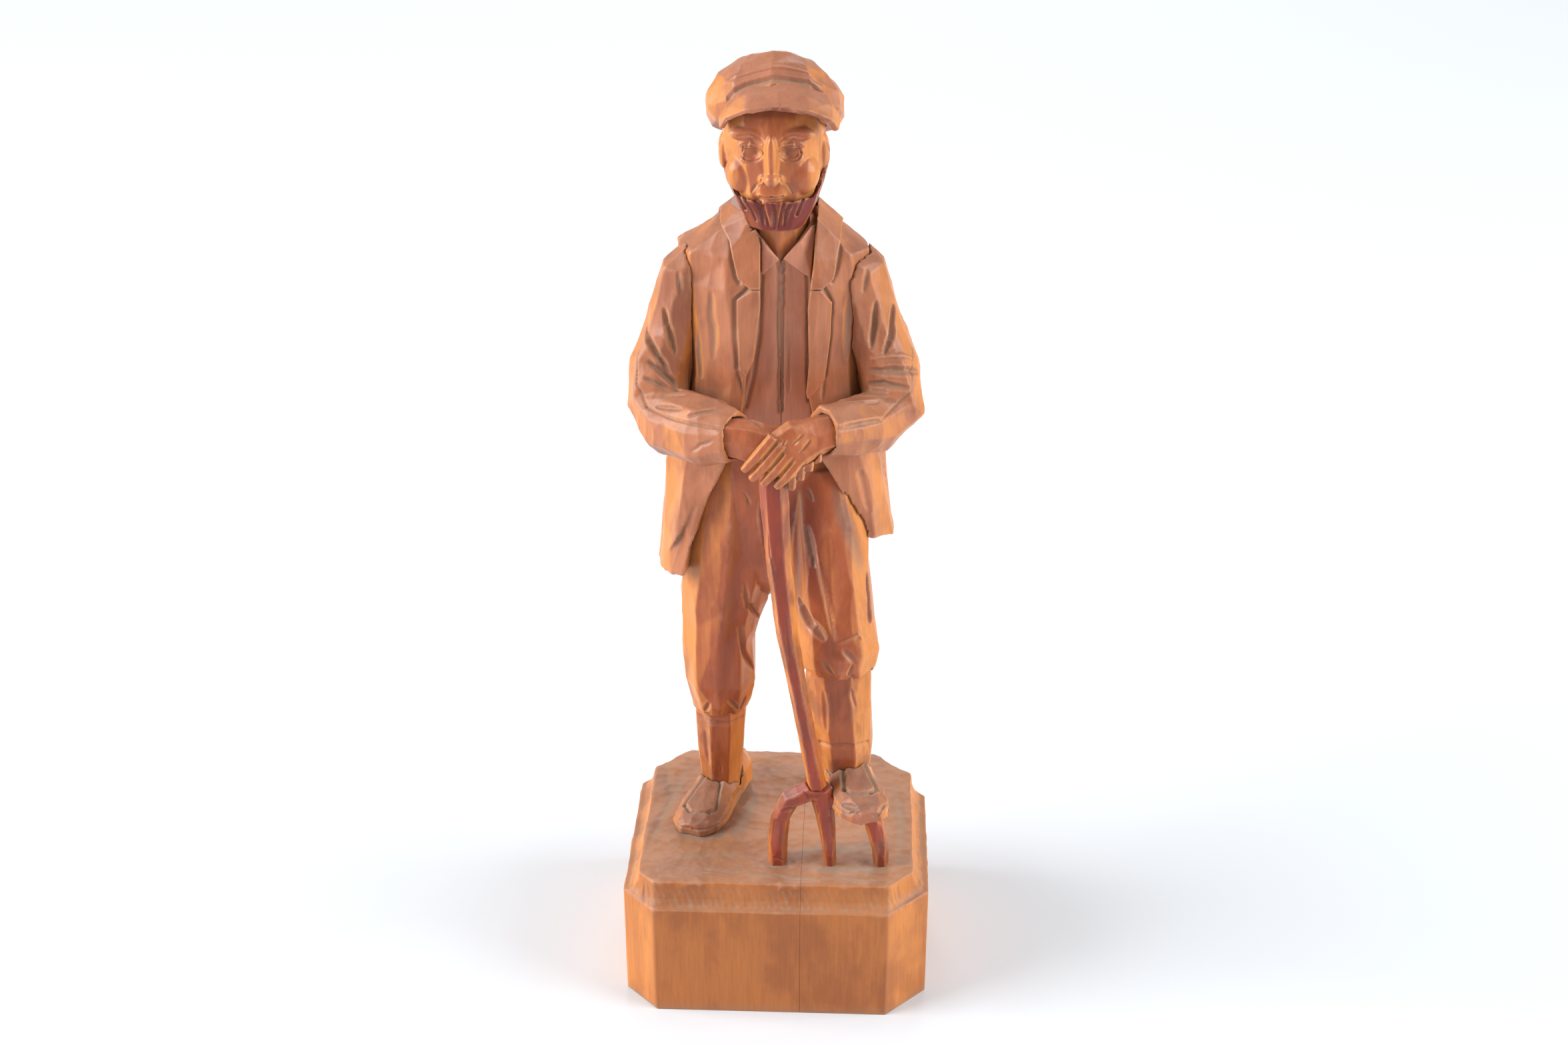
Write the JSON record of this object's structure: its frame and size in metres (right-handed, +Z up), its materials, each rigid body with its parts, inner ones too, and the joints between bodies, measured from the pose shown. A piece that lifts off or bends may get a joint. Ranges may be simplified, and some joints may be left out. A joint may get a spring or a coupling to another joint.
{
  "type": "carved wooden figurine",
  "caption": "Carved, stained wooden figurine of a bearded figure in a flat cap and jacket, leaning on a garden fork, on an octagonal plinth.",
  "frame": {"origin": "middle of the plinth's flat underside, on the surface it stands on", "axes": "+Z up along the standing figure, -Y the way the figure faces, -X the figure's right side"},
  "size_m": [0.09, 0.076, 0.2801],
  "materials": {
    "plinth_wood": "satin varnished, honey brown, upright grain",
    "jacket_stain": "satin varnished, pink-brown stain, dusty in the cuts",
    "shirt_stain": "satin varnished, pink-brown stain",
    "breeches_stain": "satin varnished, amber brown stain",
    "legging_stain": "satin varnished, amber brown stain",
    "shoe_stain": "satin varnished, red-brown stain",
    "skin_stain": "satin varnished, honey amber",
    "beard_stain": "satin varnished, dark red-brown stain",
    "cap_stain": "satin varnished, red-brown stain",
    "fork_stain": "satin varnished, red-brown stain"
  },
  "bodies": {
    "root": {"plinth_right_board": "plinth_wood", "plinth_middle_board": "plinth_wood", "plinth_left_board": "plinth_wood", "jacket_back": "jacket_stain", "jacket_right_front": "jacket_stain", "jacket_left_front": "jacket_stain", "jacket_collar": "jacket_stain", "right_lapel": "jacket_stain", "left_lapel": "jacket_stain", "right_sleeve": "jacket_stain", "left_sleeve": "jacket_stain", "shirt_right_front": "shirt_stain", "shirt_left_front": "shirt_stain", "shirt_right_collar": "shirt_stain", "shirt_left_collar": "shirt_stain", "right_breeches": "breeches_stain", "left_breeches": "breeches_stain", "right_legging": "legging_stain", "left_legging": "legging_stain", "right_shoe": "shoe_stain", "left_shoe": "shoe_stain", "neck": "skin_stain", "head": "skin_stain", "right_hand": "skin_stain", "left_hand": "skin_stain", "beard": "beard_stain", "cap_crown": "cap_stain", "cap_peak": "cap_stain", "fork_handle": "fork_stain", "fork_head": "fork_stain"}
  },
  "joints": []
}
